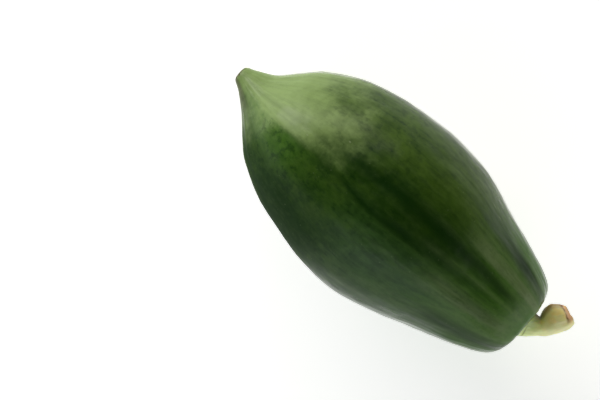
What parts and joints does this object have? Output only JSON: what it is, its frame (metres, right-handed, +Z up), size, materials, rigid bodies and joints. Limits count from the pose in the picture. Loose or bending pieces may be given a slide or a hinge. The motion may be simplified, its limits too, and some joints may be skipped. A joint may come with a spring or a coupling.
{
  "type": "papaya",
  "caption": "Whole green papaya lying on its side: a pointed, softly ribbed fruit with a short bent stem at its lobed end.",
  "frame": {"origin": "middle of the small flat spot that the fruit rests on, straight below its centre of mass", "axes": "+X along the fruit, from the blossom tip towards the stem; +Z up from the surface that it lies on; the stem bends towards +Y"},
  "size_m": [0.2652, 0.1237, 0.1187],
  "materials": {
    "skin": "waxy green fruit skin, lighter at the tip and along the ribs, with faint lengthwise streaks",
    "stem": "pale yellow-green fleshy stem, pinkish brown where it was broken off"
  },
  "bodies": {
    "root": {"fruit": "skin", "stem": "stem"}
  },
  "joints": []
}
